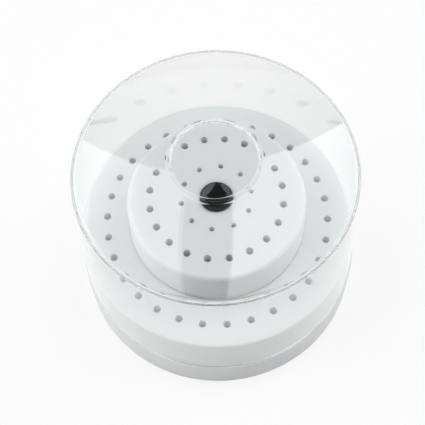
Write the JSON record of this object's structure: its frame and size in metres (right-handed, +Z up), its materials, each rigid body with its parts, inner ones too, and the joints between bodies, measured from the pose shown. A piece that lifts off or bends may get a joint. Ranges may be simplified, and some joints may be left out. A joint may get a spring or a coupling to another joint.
{
  "type": "dental bur block",
  "caption": "Round two-tier plastic block with rings of blind sockets that hold dental burs upright, under a clear lift-off cover with a low round boss.",
  "frame": {"origin": "centre of the block's foot, on the surface it stands on", "axes": "+Z up along the axis of the round block and its cover; +X through the middle of one socket of each ring"},
  "size_m": [0.0954, 0.0954, 0.0722],
  "materials": {
    "block_plastic": "satin to gloss moulded white plastic",
    "disc_plastic": "glossy black plastic",
    "cover_clear": "clear polished moulded plastic"
  },
  "bodies": {
    "block": {"base_block": "block_plastic", "upper_block": "block_plastic", "centre_disc": "disc_plastic"},
    "cover": {"cover": "cover_clear"}
  },
  "joints": [
    {"name": "cover_lift", "type": "slide", "parent": "block", "child": "cover", "axis": [0, 0, 1], "range_m": [0, 0.06]}
  ]
}
